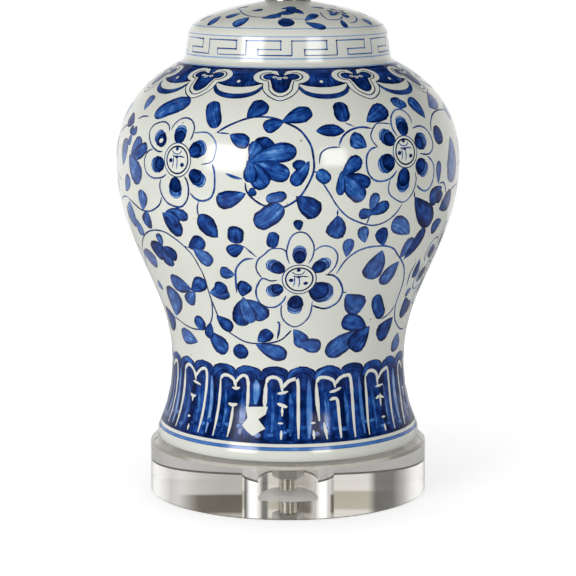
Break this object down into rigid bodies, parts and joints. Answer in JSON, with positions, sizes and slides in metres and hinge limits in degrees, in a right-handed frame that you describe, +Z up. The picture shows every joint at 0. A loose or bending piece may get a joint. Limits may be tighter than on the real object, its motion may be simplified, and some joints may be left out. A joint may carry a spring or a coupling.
{
  "type": "ceramic table lamp",
  "caption": "Table lamp with a blue-and-white glazed ceramic jar on a clear round base, nickel neck, turn switch, harp and tapered drum shade.",
  "frame": {"origin": "on the table, under the middle of the clear base", "axes": "+Z up along the rod, -Y towards the front of the lamp, where the switch knob is, +X to the right"},
  "size_m": [0.4074, 0.4074, 0.7033],
  "materials": {
    "clear_acrylic": "polished clear cast acrylic",
    "nickel": "polished nickel plate",
    "zinc_steel": "zinc-plated steel",
    "clear_vinyl": "clear soft vinyl",
    "blue_white_glaze": "glossy off-white glaze with painted cobalt blue",
    "fibre_liner": "pressed insulating fibre",
    "phenolic": "moulded phenolic",
    "brass": "bright brass",
    "black_knob": "moulded black plastic",
    "white_wire": "white powder-coated wire",
    "linen": "off-white linen on a stiff backing",
    "linen_trim": "folded linen edging"
  },
  "bodies": {
    "lamp": {"acrylic_base": "clear_acrylic", "base_washer": "nickel", "base_lock_washer": "zinc_steel", "base_nut": "zinc_steel", "threaded_rod": "nickel", "foot_gasket": "clear_vinyl", "ceramic_jar": "blue_white_glaze", "cord_bushing": "clear_vinyl", "neck_gasket": "clear_vinyl", "neck_ring": "zinc_steel", "neck": "nickel", "neck_cap": "nickel", "socket_nipple": "zinc_steel", "harp_saddle": "nickel", "saddle_nut": "zinc_steel", "socket_cap": "nickel", "cap_set_screw": "zinc_steel", "socket_shell": "nickel", "socket_liner": "fibre_liner", "socket_body": "phenolic", "terminal_screws": "brass", "screw_shell": "brass", "centre_contact": "brass", "harp": "nickel", "harp_stud": "nickel"},
    "switch": {"switch_spindle": "brass", "switch_knob": "black_knob"},
    "sleeve_left": {"harp_sleeve_left": "nickel"},
    "sleeve_right": {"harp_sleeve_right": "nickel"},
    "shade": {"spider_hub": "white_wire", "spider_arms": "white_wire", "shade_top_ring": "white_wire", "shade_bottom_ring": "white_wire", "shade_panel": "linen", "shade_trim_top": "linen_trim", "shade_trim_bottom": "linen_trim"},
    "finial": {"finial": "nickel"}
  },
  "joints": [
    {"name": "switch_turn", "type": "hinge", "parent": "lamp", "child": "switch", "pos_m": [0, -0.02, 0.4483], "axis": [0, -1, 0], "continuous": true},
    {"name": "sleeve_left_slide", "type": "slide", "parent": "lamp", "child": "sleeve_left", "axis": [0, 0, 1], "range_m": [0, 0.018]},
    {"name": "sleeve_right_slide", "type": "slide", "parent": "lamp", "child": "sleeve_right", "axis": [0, 0, 1], "range_m": [0, 0.018]},
    {"name": "shade_turn", "type": "hinge", "parent": "lamp", "child": "shade", "pos_m": [0, 0, 0.6769], "axis": [0, 0, 1], "continuous": true},
    {"name": "finial_turn", "type": "hinge", "parent": "lamp", "child": "finial", "pos_m": [0, 0, 0.6805], "axis": [0, 0, 1], "continuous": true}
  ]
}
